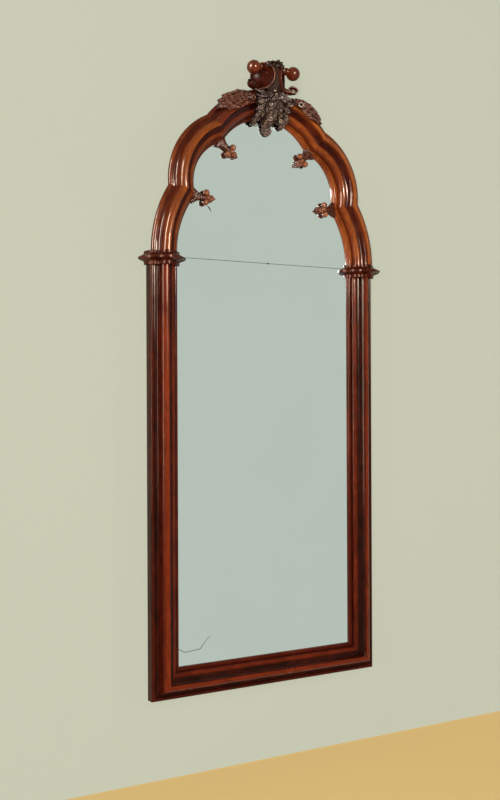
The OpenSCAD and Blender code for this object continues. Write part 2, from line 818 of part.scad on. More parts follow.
module side_facing() {
    translate([half_w - facing_t, -core_t, facing_t - face_w])
        cube([facing_t, core_t, spring_h + face_w - facing_t]);
}
module side_facing_left() { color(dark_wood) stand() mirrored(-1) side_facing(); }
module side_facing_right() { color(dark_wood) stand() side_facing(); }
module bottom_facing() {
    color(dark_wood) stand() translate([-half_w, -core_t, -face_w])
        cube([2 * half_w, core_t, facing_t]);
}

module lower_plate() {
    color(silver_glass) stand() slab(core_t - plate_t, core_t)
        translate([-half_sight - plate_lap, -plate_lap])
            square([sight_w + 2 * plate_lap, joint_h + plate_lap - joint_gap / 2]);
}
module upper_plate() {
    color(silver_glass) stand() slab(core_t - plate_t, core_t)
        arch_opening(plate_lap, joint_h + joint_gap / 2);
}
module lower_backboard() {
    lap = rebate_w - board_gap;
    color(pine) stand() slab(board_back, board_back + board_t)
        translate([-half_sight - lap, -lap])
            square([sight_w + 2 * lap, joint_h - batten_h / 2 + lap - fit_gap]);
}
module upper_backboard() {
    color(pine) stand() slab(board_back, board_back + board_t)
        arch_opening(rebate_w - board_gap, joint_h + batten_h / 2 + fit_gap);
}
module joint_batten() {
    color(pine) stand() slab(batten_z, core_t - plate_t)
        translate([-half_sight - rebate_w, joint_h - batten_h / 2])
            intersection() {
                square([sight_w + 2 * rebate_w, batten_h]);
                translate([rebate_w + half_sight, spring_h - joint_h + batten_h / 2])
                    union() {
                        for (side = [-1, 1]) translate([side * low_x, 0])
                            circle(low_r + rebate_w, $fn = 180);
                        translate([-half_w, -batten_h]) square([2 * half_w, batten_h]);
                    }
            }
}

module glazing_slips() {
    color(pine) stand() slab(core_t - plate_t - slip_t, core_t - plate_t) {
        for (side = [-1, 1], h = pin_heights())
            translate([side * (half_sight + rebate_w - slip_w / 2), h])
                square([slip_w, slip_l], center = true);
        for (side = [-1, 0, 1])
            translate([side * sight_w / 3, -rebate_w + slip_w / 2])
                square([slip_l, slip_w], center = true);
    }
}
module backboard_pins() {
    color(iron) stand() for (side = [-1, 1]) mirrored(side) pin_set(pin_r, pin_out);
}
module core_dowels() {
    color(pine) stand() for (side = [-1, 1]) mirrored(side) dowel_set(dowel_r, dowel_l);
}
module hanger_plate_left() { color(iron) stand() mirrored(-1) hanger_plate(); }
module hanger_plate_right() { color(iron) stand() hanger_plate(); }
module hanger_screws() {
    color(iron) stand() for (side = [-1, 1]) mirrored(side)
        hanger_screw_set(screw_r, screw_head_r, screw_l);
}
module crest_strap() {
    color(iron) stand() difference() {
        slab(0, strap_t) strap_outline(0);
        strap_screw_set(screw_r, screw_head_r, screw_l);
    }
}
module strap_screws() {
    color(iron) stand() strap_screw_set(screw_r, screw_head_r, screw_l);
}

stile_moulding_left();
stile_moulding_right();
bottom_rail_moulding();
lower_foil_left();
lower_foil_right();
middle_foil_left();
middle_foil_right();
crown_foil_left();
crown_foil_right();
shaft_ring_left();
shaft_ring_right();
cusp_leaf_lower_left();
cusp_leaf_lower_right();
cusp_leaf_upper_left();
cusp_leaf_upper_right();
apex_leaf();
apex_side_leaf_left();
apex_side_leaf_right();
shoulder_leaf_left();
shoulder_leaf_right();
crest_body();
crest_volute_left();
crest_volute_right();
crest_curl_left();
crest_curl_right();
stile_core_left();
stile_core_right();
bottom_rail_core();
lower_arch_core_left();
lower_arch_core_right();
middle_arch_core_left();
middle_arch_core_right();
crown_core();
side_facing_left();
side_facing_right();
bottom_facing();
lower_plate();
upper_plate();
lower_backboard();
upper_backboard();
joint_batten();
glazing_slips();
backboard_pins();
core_dowels();
hanger_plate_left();
hanger_plate_right();
hanger_screws();
crest_strap();
strap_screws();
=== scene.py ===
import math
import random
import bpy
import bmesh
from mathutils import Matrix, Vector


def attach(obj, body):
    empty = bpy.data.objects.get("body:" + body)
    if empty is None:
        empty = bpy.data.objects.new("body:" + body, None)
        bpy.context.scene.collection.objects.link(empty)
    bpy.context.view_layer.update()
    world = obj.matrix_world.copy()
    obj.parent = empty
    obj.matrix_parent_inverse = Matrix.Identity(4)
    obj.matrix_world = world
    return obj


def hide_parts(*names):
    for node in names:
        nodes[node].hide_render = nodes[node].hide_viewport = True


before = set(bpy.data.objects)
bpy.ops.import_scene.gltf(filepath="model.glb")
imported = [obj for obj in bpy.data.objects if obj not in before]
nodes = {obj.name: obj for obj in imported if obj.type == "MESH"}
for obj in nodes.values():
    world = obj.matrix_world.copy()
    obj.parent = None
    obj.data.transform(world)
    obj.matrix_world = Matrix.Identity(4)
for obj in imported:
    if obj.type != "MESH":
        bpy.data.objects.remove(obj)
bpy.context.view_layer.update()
scene = bpy.context.scene
print("frame loaded:", len(nodes), "nodes")

lowSight = -1.180  # where the bottom sight edge lies in the room

camera = {"place": (-1.972, -3.160, -0.324), "turn": -31.29, "roll": -0.246, "lens": 49.5, "sensor": 36}

camData = bpy.data.cameras.new("photoCamera")
camData.sensor_fit = "VERTICAL"
camData.sensor_height = camera["sensor"]
camData.lens = camera["lens"]
camObj = bpy.data.objects.new("photoCamera", camData)
scene.collection.objects.link(camObj)
camObj.matrix_world = (Matrix.Translation(camera["place"])
                       @ Matrix.Rotation(math.radians(camera["turn"]), 4, "Z")
                       @ Matrix.Rotation(math.radians(90), 4, "X")
                       @ Matrix.Rotation(math.radians(camera["roll"]), 4, "Z"))
scene.camera = camObj
scene.view_settings.view_transform = "Standard"


def put(tree, kind, inputs=None, **settings):  # a node; an input takes a value or another node's output
    node = tree.nodes.new("ShaderNode" + kind)
    for key, value in settings.items():
        setattr(node, key, value)
    for socket, value in (inputs or {}).items():
        if isinstance(value, bpy.types.NodeSocket):
            tree.links.new(value, node.inputs[socket])
        else:
            node.inputs[socket].default_value = value
    return node


def mathNode(tree, operation, *values):
    return put(tree, "Math", dict(enumerate(values)), operation=operation).outputs[0]


def mapRange(tree, source, before, after):
    return put(tree, "MapRange", {"Value": source, "From Min": before[0], "From Max": before[1],
                                  "To Min": after[0], "To Max": after[1]}).outputs[0]


def newMaterial(name):
    mat = bpy.data.materials.new(name)
    mat.use_nodes = True
    mat.node_tree.nodes.clear()
    return mat, mat.node_tree


def surface(tree, values):  # the shader, on the material's output
    shade = put(tree, "BsdfPrincipled", values)
    put(tree, "OutputMaterial", {"Surface": shade.outputs[0]})


room = {"wallColor": (0.568, 0.584, 0.458), "floorColor": (0.690, 0.480, 0.190), "mottle": 0.015,
        "mottleScale": 1.3, "rough": 0.9, "shine": 0.1,
        "wallHalf": 7.0, "wallTop": 3.4, "wallY": 0.001, "floorZ": -1.540,
        "skyColor": (0.505, 0.565, 0.505), "skyLevel": 1.0, "fillColor": (0.97, 0.98, 1.0), "fillLevel": 0.12,
        "ownTone": 0.82, "backGap": 0.012}


def roomMaterial(name, color, isFloor=False):
    mat, tree = newMaterial(name)
    where = put(tree, "TexCoord").outputs["Object"]
    noise = put(tree, "TexNoise", {"Vector": where, "Scale": room["mottleScale"], "Detail": 3})
    darker, lighter = [(*[c * share for c in color], 1) for share in (1 - room["mottle"], 1 + room["mottle"])]
    paint = put(tree, "Mix", {0: noise.outputs["Fac"], 6: darker, 7: lighter}, data_type="RGBA").outputs[2]
    shade = put(tree, "BsdfPrincipled", {"Base Color": paint, "Roughness": room["rough"],
                                         "Specular IOR Level": room["shine"]})
    tone = put(tree, "Emission", {"Color": paint})  # the camera sees mostly this flat tone
    ray = put(tree, "LightPath")
    share = mathNode(tree, "MULTIPLY", ray.outputs["Is Camera Ray"], room["ownTone"])
    toned = put(tree, "MixShader", {0: share, 1: shade.outputs[0], 2: tone.outputs[0]})
    if isFloor:  # the mirror shows the pale room and no floor edge
        skipped = ray.outputs["Is Glossy Ray"]
    else:  # the wall lets light from behind reach the mirror's back
        skipped = mathNode(tree, "LESS_THAN", ray.outputs["Ray Length"], room["backGap"])
    hide = mathNode(tree, "MAXIMUM", put(tree, "NewGeometry").outputs["Backfacing"], skipped)
    clear = put(tree, "BsdfTransparent")
    choose = put(tree, "MixShader", {0: hide, 1: toned.outputs[0], 2: clear.outputs[0]})
    put(tree, "OutputMaterial", {"Surface": choose.outputs[0]})
    return mat


def stagePlane(name, corners, mat):
    bm = bmesh.new()
    bm.faces.new([bm.verts.new(c) for c in corners])
    mesh = bpy.data.meshes.new(name)
    bm.to_mesh(mesh)
    bm.free()
    obj = bpy.data.objects.new(name, mesh)
    scene.collection.objects.link(obj)
    mesh.materials.append(mat)


half, top, wallY, floorZ = room["wallHalf"], room["wallTop"], room["wallY"], room["floorZ"]
stagePlane("backWall", [(-half, wallY, floorZ), (half, wallY, floorZ), (half, wallY, top),
                        (-half, wallY, top)],
           roomMaterial("wallPaint", room["wallColor"]))
stagePlane("floorPlane", [(-half, -half, floorZ), (half, -half, floorZ), (half, wallY, floorZ),
                          (-half, wallY, floorZ)],
           roomMaterial("floorPaint", room["floorColor"], True))

world = bpy.data.worlds.new("roomLight")
scene.world = world
world.use_nodes = True
sky = world.node_tree
sky.nodes.clear()
fill = put(sky, "Background", {"Color": (*room["fillColor"], 1), "Strength": room["fillLevel"]})
seen = put(sky, "Background", {"Color": (*room["skyColor"], 1), "Strength": room["skyLevel"]})
path = put(sky, "LightPath").outputs
direct = mathNode(sky, "MAXIMUM", path["Is Camera Ray"], path["Is Glossy Ray"])
visible = mathNode(sky, "MAXIMUM", direct, path["Is Transmission Ray"])
skyMix = put(sky, "MixShader", {0: visible, 1: fill.outputs[0], 2: seen.outputs[0]})
put(sky, "OutputWorld", {"Surface": skyMix.outputs[0]})

lampColor = (1.0, 0.98, 0.95)
lamps = {  # soft lamps light the room, glint lamps are the windows that the polish mirrors
    "farLeft": {"place": (-6.0, -2.4, 0.2), "size": (0.5, 3.2), "watts": 70, "color": (1.0, 0.97, 0.93)},
    "leftSoft": {"place": (-3.6, -4.4, 0.2), "size": (0.30, 3.4), "watts": 215},
    "rightSoft": {"place": (4.6, -2.2, 0.3), "size": (0.25, 3.0), "watts": 110},
    "topSoft": {"place": (-0.4, -4.4, 3.4), "size": (2.2, 0.4), "watts": 40},
    "backSoft": {"place": (0, 4.0, 0.6), "size": (0.5, 2.5), "watts": 170},
    "sideWindow": {"place": (-4.6, -0.8, 1.85), "aim": (0, 0, 0.5), "size": (0.9, 2.4), "watts": 800,
                   "glint": True},
    "sideWall": {"place": (-4.6, -0.42, -0.15), "size": (0.4, 1.7), "watts": 90, "glint": True},
    "frontWindow": {"place": (-0.1, -4.6, 0.9), "aim": (0, 0, 0.7), "size": (0.9, 0.5), "watts": 420,
                    "glint": True},
}
for lampName, lamp in lamps.items():
    data = bpy.data.lights.new(lampName, "AREA")
    data.shape = "RECTANGLE"
    data.size, data.size_y = lamp["size"]
    data.energy = lamp["watts"]
    data.color = lamp.get("color", lampColor)
    obj = bpy.data.objects.new(lampName, data)
    obj.location = lamp["place"]
    toward = Vector(lamp.get("aim", (0, 0, 0))) - Vector(lamp["place"])
    obj.rotation_euler = toward.to_track_quat("-Z", "Y").to_euler()
    obj.visible_diffuse = not lamp.get("glint", False)
    obj.visible_glossy = lamp.get("glint", False)
    scene.collection.objects.link(obj)
print("camera, room and lamps set")


def newGroup(name, inputs, outputs):
    group = bpy.data.node_groups.new(name, "ShaderNodeTree")
    for label, kind, value in inputs:
        socket = group.interface.new_socket(label, in_out="INPUT", socket_type="NodeSocket" + kind)
        socket.default_value = value
    for label in outputs:
        group.interface.new_socket(label, in_out="OUTPUT", socket_type="NodeSocketFloat")
    return group, group.nodes.new("NodeGroupInput").outputs, group.nodes.new("NodeGroupOutput").inputs


grain = {"fibre": 260.0, "figure": 34.0, "bend": 0.35, "bendScale": 4.0, "pores": 900,
         "poreCut": (0.60, 0.72), "middle": 0.675, "relief": 0.04, "reliefDepth": 0.0006,
         "poreDark": 0.35, "poreShare": 0.5, "fibreShare": 0.7, "wearScale": 22,
         "stretch": {"fibre": 0.05, "flame": 0.34, "pores": 0.03}}


def grainGroup():  # long grain and broad figure along X of the given vector
    group, given, result = newGroup(
        "woodFigure", [("Vector", "Vector", (0, 0, 0)), ("Grain", "Float", grain["fibre"]),
                       ("Figure", "Float", grain["figure"]), ("Bend", "Float", grain["bend"])],
        ["Fibre", "Flame", "Pores"])

    def noise(part, values):
        scale = (grain["stretch"][part], 1, 1)
        drawn = put(group, "Mapping", {"Vector": given["Vector"], "Scale": scale}).outputs[0]
        return put(group, "TexNoise", {"Vector": drawn, **values}).outputs["Fac"]

    bend = put(group, "TexNoise", {"Vector": given["Vector"], "Scale": grain["bendScale"],
                                   "Detail": 2}).outputs["Fac"]
    fibre = noise("fibre", {"Scale": given["Grain"], "Detail": 5, "Roughness": 0.65})
    flame = noise("flame", {"Scale": given["Figure"], "Detail": 6, "Roughness": 0.62, "Distortion": 1.1})
    pores = noise("pores", {"Scale": grain["pores"], "Detail": 2})
    group.links.new(fibre, result["Fibre"])
    group.links.new(mathNode(group, "MULTIPLY_ADD", bend, given["Bend"], flame), result["Flame"])
    group.links.new(mapRange(group, pores, grain["poreCut"], (0, 1)), result["Pores"])
    return group


def bandGroup():  # how far a spot lies outside the sight edge, 1 at 100 mm
    group, given, result = newGroup(
        "mouldingBand", [("Vector", "Vector", (0, 0, 0)), ("Centre", "Vector", (0, 0, 0)),
                         ("Reach", "Vector", (1, 0, 1)), ("Radius", "Float", 0.0)], ["Across"])

    def vectorNode(operation, *values):
        return put(group, "VectorMath", dict(enumerate(values)), operation=operation)

    apart = put(group, "SeparateXYZ", {0: given["Vector"]}).outputs
    mirrored = mathNode(group, "ABSOLUTE", apart["X"])
    joined = put(group, "CombineXYZ", {"X": mirrored, "Z": apart["Z"]}).outputs[0]
    offset = vectorNode("SUBTRACT", joined, given["Centre"]).outputs[0]
    kept = vectorNode("MULTIPLY", offset, given["Reach"]).outputs[0]
    length = vectorNode("LENGTH", kept).outputs["Value"]
    outside = mathNode(group, "SUBTRACT", length, given["Radius"])
    group.links.new(mathNode(group, "MULTIPLY", outside, 10.0), result["Across"])
    return group


woodFigure = grainGroup()
mouldingBand = bandGroup()


def ramp(tree, source, stops):
    node = put(tree, "ValToRGB", {"Fac": source})
    elements = node.color_ramp.elements
    while len(elements) < len(stops):
        elements.new(0.5)
    for element, (place, color) in zip(elements, stops):
        element.position = place
        element.color = (*color, 1)
    return node.outputs["Color"]


polish = {
    "straight": {"dark": (0.013, 0.0013, 0.0006), "mid": (0.076, 0.0078, 0.0026),
                 "light": (0.23, 0.031, 0.007)},
    "arch": {"dark": (0.03, 0.0018, 0.001), "mid": (0.105, 0.0165, 0.0042), "light": (0.3, 0.074, 0.0135)},
    # a lighter copy of the arch's tone for the right half of the arch: painted light
    "archRightPaintedLight": {"dark": (0.034, 0.0018, 0.001), "mid": (0.16, 0.028, 0.0062),
                  "light": (0.43, 0.112, 0.018)},
    # a darker crimson copy for the left half of the crown: painted shade
    "crown": {"dark": (0.02, 0.0014, 0.0008), "mid": (0.068, 0.0088, 0.0034), "light": (0.19, 0.031, 0.0085)},
    "crest": {"dark": (0.01, 0.0012, 0.0008), "mid": (0.048, 0.0056, 0.0028), "light": (0.15, 0.024, 0.0085)},
    "ring": {"dark": (0.01, 0.0012, 0.0007), "mid": (0.046, 0.0066, 0.0028), "light": (0.15, 0.027, 0.008)},
    "ball": {"dark": (0.014, 0.0014, 0.0008), "mid": (0.084, 0.0116, 0.004), "light": (0.26, 0.05, 0.013)},
    # darker than the crest: painted shade of the recess between the bowls, also used on the leaflets and the
    # left curl's rim
    "stem": {"dark": (0.006, 0.0018, 0.0012), "mid": (0.021, 0.0085, 0.005), "light": (0.08, 0.036, 0.02)},
}
bandWearAndShade = {  # millimetres outside the sight edge, and how bright the polish is painted there: light on the high rounds as wear and painted light, dark in the coves and hollows as painted shade
    "stile": [(0, .38), (9, .46), (13.5, .22), (17, .55), (25, .66), (28, .36), (31, .10), (44, .06),
              (47.5, .25), (49.5, .84), (61, .80), (67, .48), (71, .26), (74, .34), (76.5, .12), (86, .14),
              (90, .32), (96, .34), (98.5, .12)],
    "arch": [(0, .52), (9, .62), (13.5, .28), (18, .58), (28, .70), (31, .30), (34, .05), (46, .05),
             (49, .35), (50.5, .84), (64, .72), (73, .50), (76, .24), (82, .26), (88, .52), (95, .56),
             (99, .30)],
    "plain": [(0, .5), (100, .5)],
}
runs = {  # where each moulding's sight edge runs: centre, reach and radius for the band group
    "side": ((0, 0, 0), (1, 0, 0), 0.338), "bottom": ((0, 0, lowSight + 1), (0, 0, 1), 1.0),
    "low": ((0.040, 0, lowSight + 1.330), (1, 0, 1), 0.298),
    "middle": ((0.1335, 0, lowSight + 1.564), (1, 0, 1), 0.143),
    "crown": ((0, 0, lowSight + 1.595), (1, 0, 1), 0.2016),
}


def mahogany(name, tone, lean=0, gloss=0.2, run="side", band="plain", contrast=0.8, sheen=0.15,
             tint=(1.0, 0.56, 0.40)):
    mat, tree = newMaterial(name)
    colors = polish[tone]
    where = put(tree, "TexCoord").outputs["Object"]
    turned = put(tree, "Mapping", {"Vector": where, "Rotation": (0, math.radians(lean), 0)}).outputs[0]
    wood = put(tree, "Group", {"Vector": turned}, node_tree=woodFigure).outputs
    centre, reach, radius = runs[run]
    place = put(tree, "Group", {"Vector": where, "Centre": centre, "Reach": reach, "Radius": radius},
                node_tree=mouldingBand)
    # the band paints the profile's wear and shade: pale rounds, painted shade in the coves and hollows
    wearAndShade = ramp(tree, place.outputs["Across"], [(u / 100, (value,) * 3) for u, value in bandWearAndShade[band]])
    spread = mathNode(tree, "MULTIPLY_ADD", wood["Flame"], contrast, -grain["middle"] * contrast)
    total = mathNode(tree, "ADD", wearAndShade, spread)  # the figure lightens and darkens each band
    figureColor = ramp(tree, total, [(0.0, colors["dark"]), (0.45, colors["mid"]), (0.95, colors["light"])])
    fibreShade = ramp(tree, wood["Fibre"], [(0.25, (0.55, 0.5, 0.48)), (0.6, (1, 1, 1))])
    fibred = put(tree, "Mix", {0: grain["fibreShare"], 6: figureColor, 7: fibreShade},
                 data_type="RGBA", blend_type="MULTIPLY").outputs[2]
    poreAmount = mathNode(tree, "MULTIPLY", wood["Pores"], grain["poreShare"])
    poreColor = (*[c * grain["poreDark"] for c in colors["dark"]], 1)
    color = put(tree, "Mix", {0: poreAmount, 6: fibred, 7: poreColor}, data_type="RGBA").outputs[2]
    wear = put(tree, "TexNoise", {"Vector": where, "Scale": grain["wearScale"], "Detail": 4}).outputs["Fac"]
    rough = mapRange(tree, wear, (0.3, 0.75), (gloss * 0.75, gloss * 1.5))
    bump = put(tree, "Bump", {"Height": wood["Fibre"], "Strength": grain["relief"],
                              "Distance": grain["reliefDepth"]}).outputs[0]
    surface(tree, {"Base Color": color, "Roughness": rough, "Normal": bump, "Specular IOR Level": sheen,
                   "Specular Tint": (*tint, 1)})
    return mat


carved = {"grime": 95, "cuts": 170, "cutFrom": (0.25, 0.75), "cutTo": (0.06, -0.12), "highShare": 0.6,
          "grimeShare": 0.7, "relief": 0.9, "reliefDepth": 0.0018, "tint": (1.0, 0.80, 0.70)}


def carvedWood(name, deep, body, dustAndHighlight, gloss, sheen, stops):  # dark in the cuts and low spots as painted shade, pale on the high spots as dust and painted highlight
    mat, tree = newMaterial(name)
    where = put(tree, "TexCoord").outputs["Object"]
    high = put(tree, "Attribute", attribute_name="relief").outputs["Fac"]
    grime = put(tree, "TexNoise", {"Vector": where, "Scale": carved["grime"], "Detail": 5,
                                   "Roughness": 0.65}).outputs["Fac"]
    cuts = put(tree, "TexVoronoi", {"Vector": where, "Scale": carved["cuts"]}).outputs["Distance"]
    gouged = mapRange(tree, cuts, carved["cutFrom"], carved["cutTo"])  # dark between the tool marks: painted shade in the bumped creases
    wearAndShade = mathNode(tree, "MULTIPLY_ADD", high, carved["highShare"], gouged)
    blend = mathNode(tree, "MULTIPLY_ADD", grime, carved["grimeShare"], wearAndShade)
    color = ramp(tree, blend, list(zip(stops, (deep, body, dustAndHighlight))))
    rough = mapRange(tree, grime, (0.35, 0.7), (gloss * 0.7, gloss * 1.5))
    marks = mathNode(tree, "SUBTRACT", grime, cuts)
    bump = put(tree, "Bump", {"Height": marks, "Strength": carved["relief"],
                              "Distance": carved["reliefDepth"]}).outputs[0]
    surface(tree, {"Base Color": color, "Roughness": rough, "Normal": bump, "Specular IOR Level": sheen,
                   "Specular Tint": (*carved["tint"], 1)})
    return mat


dirt = {"scale": 60, "rough": 0.7, "shine": 0.1}


def jointGrime():  # in the joint of the plates and in the crack
    mat, tree = newMaterial("jointGrime")
    where = put(tree, "TexCoord").outputs["Object"]
    noise = put(tree, "TexNoise", {"Vector": where, "Scale": dirt["scale"]}).outputs["Fac"]
    color = ramp(tree, noise, [(0.35, (0.010, 0.014, 0.011)), (0.7, (0.10, 0.12, 0.10))])
    surface(tree, {"Base Color": color, "Roughness": dirt["rough"], "Specular IOR Level": dirt["shine"]})
    return mat


pine = {"lean": 90, "grain": 120, "figure": 22, "fibreShare": 0.7, "rough": 0.75, "relief": 0.35,
        "reliefDepth": 0.0008}


def pineWood():
    mat, tree = newMaterial("rawPine")
    where = put(tree, "TexCoord").outputs["Object"]
    turn = (0, math.radians(pine["lean"]), 0)
    upright = put(tree, "Mapping", {"Vector": where, "Rotation": turn}).outputs[0]
    wood = put(tree, "Group", {"Vector": upright, "Grain": pine["grain"], "Figure": pine["figure"]},
               node_tree=woodFigure).outputs
    flame = ramp(tree, wood["Flame"], [(0.4, (0.20, 0.115, 0.05)), (0.62, (0.36, 0.235, 0.115)),
                                       (0.9, (0.47, 0.33, 0.18))])
    fibre = ramp(tree, wood["Fibre"], [(0.3, (0.6, 0.56, 0.5)), (0.62, (1, 1, 1))])
    color = put(tree, "Mix", {0: pine["fibreShare"], 6: flame, 7: fibre}, data_type="RGBA",
                blend_type="MULTIPLY").outputs[2]
    bump = put(tree, "Bump", {"Height": wood["Fibre"], "Strength": pine["relief"],
                              "Distance": pine["reliefDepth"]}).outputs[0]
    surface(tree, {"Base Color": color, "Roughness": pine["rough"], "Normal": bump})
    return mat


silver = {"haze": 2.2, "hazeFrom": (0.3, 0.8), "rough": (0.015, 0.035)}


def mirrorGlass():
    mat, tree = newMaterial("silveredGlass")
    where = put(tree, "TexCoord").outputs["Object"]
    haze = put(tree, "TexNoise", {"Vector": where, "Scale": silver["haze"], "Detail": 6}).outputs["Fac"]
    color = ramp(tree, haze, [(0.3, (0.90, 0.925, 0.915)), (0.7, (0.935, 0.95, 0.94))])
    surface(tree, {"Base Color": color, "Metallic": 1.0,
                   "Roughness": mapRange(tree, haze, silver["hazeFrom"], silver["rough"])})
    return mat


iron = {"scale": 160, "metal": 0.8, "rough": 0.5, "relief": 0.3, "reliefDepth": 0.0004}


def blackIron():
    mat, tree = newMaterial("blackIron")
    where = put(tree, "TexCoord").outputs["Object"]
    noise = put(tree, "TexNoise", {"Vector": where, "Scale": iron["scale"], "Detail": 6}).outputs["Fac"]
    color = ramp(tree, noise, [(0.35, (0.018, 0.017, 0.017)), (0.62, (0.045, 0.042, 0.04)),
                               (0.75, (0.11, 0.055, 0.03))])
    bump = put(tree, "Bump", {"Height": noise, "Strength": iron["relief"],
                              "Distance": iron["reliefDepth"]}).outputs[0]
    surface(tree, {"Base Color": color, "Metallic": iron["metal"], "Roughness": iron["rough"],
                   "Normal": bump})
    return mat


cream = (1.0, 0.80, 0.66)
bright = {"gloss": 0.15, "band": "arch", "tint": cream}  # shared by most of the arch
dustAndShade, rubbedAndHighlit = (0.44, 0.70, 0.98), (0.44, 0.66, 0.92)  # stops of the carvings' tones
finish = {
    "stile": mahogany("stileMahogany", "straight", 90, band="stile", contrast=0.9, gloss=0.16,
                      tint=(1.0, 0.74, 0.58)),
    "rail": mahogany("railMahogany", "straight", run="bottom", band="stile"),
    "low": mahogany("lowFoilMahogany", "arch", 82, run="low", **bright),
    "lowRight": mahogany("lowFoilMahoganyRight", "archRightPaintedLight", -82, run="low", **bright),
    "mid": mahogany("midFoilMahogany", "arch", 62, run="middle", **bright),
    "midRight": mahogany("midFoilMahoganyRight", "archRightPaintedLight", -62, run="middle", **bright),
    "crown": mahogany("crownMahogany", "crown", 24, run="crown", sheen=0.22, **bright),
    "crownRight": mahogany("crownMahoganyRight", "archRightPaintedLight", -24, run="crown", band="arch"),
    "ring": mahogany("ringMahogany", "ring", gloss=0.26, sheen=0.12),
    "crest": mahogany("crestMahogany", "crest", 90, gloss=0.24, sheen=0.13),
    "ball": mahogany("ballMahogany", "ball", 90, sheen=0.32, tint=(1.0, 0.74, 0.58)),
    "bowl": mahogany("bowlMahogany", "crest", 90, gloss=0.3, contrast=0.5, sheen=0.12, tint=cream),
    # dark as painted shade in the crest's recess
    "stem": mahogany("stemMahoganyPaintedShade", "stem", 90, gloss=0.35, contrast=0.5, sheen=0.08,
                     tint=(1.0, 0.85, 0.75)),
    # carvings: low parts dark as painted shade, high parts pale as dust and painted highlight
    "carving": carvedWood("dustAndShadeCarving", (0.005, 0.0016, 0.0012), (0.040, 0.018, 0.014),
                          (0.27, 0.195, 0.160), 0.2, 0.32, dustAndShade),
    "shoulderCarving": carvedWood("shoulderCarving", (0.012, 0.0012, 0.0008), (0.094, 0.019, 0.008),
                                  (0.32, 0.140, 0.085), 0.22, 0.3, dustAndShade),
    "cuspCarving": carvedWood("cuspCarving", (0.022, 0.003, 0.0014), (0.120, 0.027, 0.010),
                              (0.34, 0.130, 0.060), 0.2, 0.3, (0.36, 0.62, 0.92)),
    # rubbed pale with painted highlight, for eyelets, knobs and rims
    "rubbedHighlitCarving": carvedWood("rubbedHighlitCarving", (0.030, 0.012, 0.008), (0.200, 0.120, 0.085),
                                (0.50, 0.40, 0.32), 0.2, 0.4, rubbedAndHighlit),
    "pine": pineWood(),
    "glass": mirrorGlass(),
    "iron": blackIron(),
    "grime": jointGrime(),
}
finishStarts = {"stile_moulding": "stile", "side_facing": "stile", "bottom_rail_moulding": "rail",
                "bottom_facing": "rail", "lower_foil": "low", "middle_foil": "mid", "crown_foil": "crown",
                "shaft_ring": "ring", "crest_strap": "iron", "strap_screws": "iron", "hanger": "iron",
                "backboard_pins": "iron", "crest": "crest", "lower_plate": "glass", "upper_plate": "glass"}


def finishFor(name):
    if "leaf" in name:
        return "carving"
    for start, key in finishStarts.items():
        if name.startswith(start):
            # right halves take their lighter copy of the arch's tone where one exists: painted light
            return key + "Right" if name.endswith("right") and key + "Right" in finish else key
    return "pine"


for name, obj in nodes.items():
    obj.data.materials.clear()
    obj.data.materials.append(finish[finishFor(name)])
print("finishes on the frame's nodes")


def spot(x, depth, h):  # millimetres on the drawing to a place in the room
    return Vector((x, -depth, h)) * 0.001 + Vector((0, 0, lowSight))


def newPiece(name, bm, finishKey, replaced=(), flip=False, sharp=60):
    if flip:
        bmesh.ops.scale(bm, vec=(-1, 1, 1), verts=bm.verts)
    bmesh.ops.remove_doubles(bm, verts=bm.verts, dist=0.00002)
    bmesh.ops.recalc_face_normals(bm, faces=bm.faces)
    for face in bm.faces:
        face.smooth = True
    mesh = bpy.data.meshes.new(name)
    bm.to_mesh(mesh)
    bm.free()
    mesh.set_sharp_from_angle(angle=math.radians(sharp))
    obj = bpy.data.objects.new(name, mesh)
    scene.collection.objects.link(obj)
    mesh.materials.append(finish[finishKey])
    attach(obj, "root")
    if replaced:
        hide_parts(*replaced)


arch = {"h": 1595.0, "r": 201.6, "core": 20.0, "dip": 0.78, "dipWidth": 24,
        "line": [(-70, 1.2), (-14, 3.5), (0, 13), (12, 27), (20, 38), (29, 42), (47, 60), (54, 61),
                 (60, 60), (66, 56), (75, 45), (84, 36), (97, 28), (106, 20), (120, 6)]}


def overMoulding(x, h):  # how far the crown moulding's high lines stand from the wall
    u = math.hypot(x, h - arch["h"]) - arch["r"]
    line = arch["line"]
    if u <= line[0][0]:
        return arch["core"] + line[0][1]
    for (u0, z0), (u1, z1) in zip(line, line[1:]):
        if u <= u1:
            return arch["core"] + z0 + (z1 - z0) * (u - u0) / (u1 - u0)
    return arch["core"] + line[-1][1]


def draped(x, h, lift):  # inside the sight edge the carving comes down close over the glass
    inside = max(0.0, arch["r"] - math.hypot(x, h - arch["h"]))
    return spot(x, overMoulding(x, h) + lift * (1 - arch["dip"] * min(1.0, inside / arch["dipWidth"])), h)


def onPlane(origin, along, up):  # a place for a leaf that stands free
    along, up = Vector(along).normalized(), Vector(up).normalized()
    across = up.cross(along)
    return lambda a, b, lift: spot(*(Vector(origin) + along * a + across * b + up * lift))


def reliefShadeLayer(bm):  # how high each spot of the carving stands; the finish paints high spots pale as wear and painted highlight, low spots dark as painted shade
    return bm.verts.layers.float.get("relief") or bm.verts.layers.float.new("relief")


leafForm = {"widest": 0.55, "rootShare": 0.42, "taper": 0.75, "thinnest": 0.04}


def leafWidth(s, width, teeth=0, bite=0.0):
    widest, rootShare = leafForm["widest"], leafForm["rootShare"]
    if s < widest:
        full = rootShare + (1 - rootShare) * math.sin(math.pi / 2 * s / widest)
    else:
        full = math.cos(math.pi / 2 * (s - widest) / (1 - widest)) ** leafForm["taper"]
    return max(leafForm["thinnest"], full) * width * (1 - bite * abs(math.sin(math.pi * teeth * s)))


def swelling(s, t):  # the body of a leaf, 1 on the middle line and 0 near its ends and sides
    return math.sin(math.pi * (0.12 + 0.76 * s)) ** 0.7 * max(0.0, 1 - 0.85 * t * t)


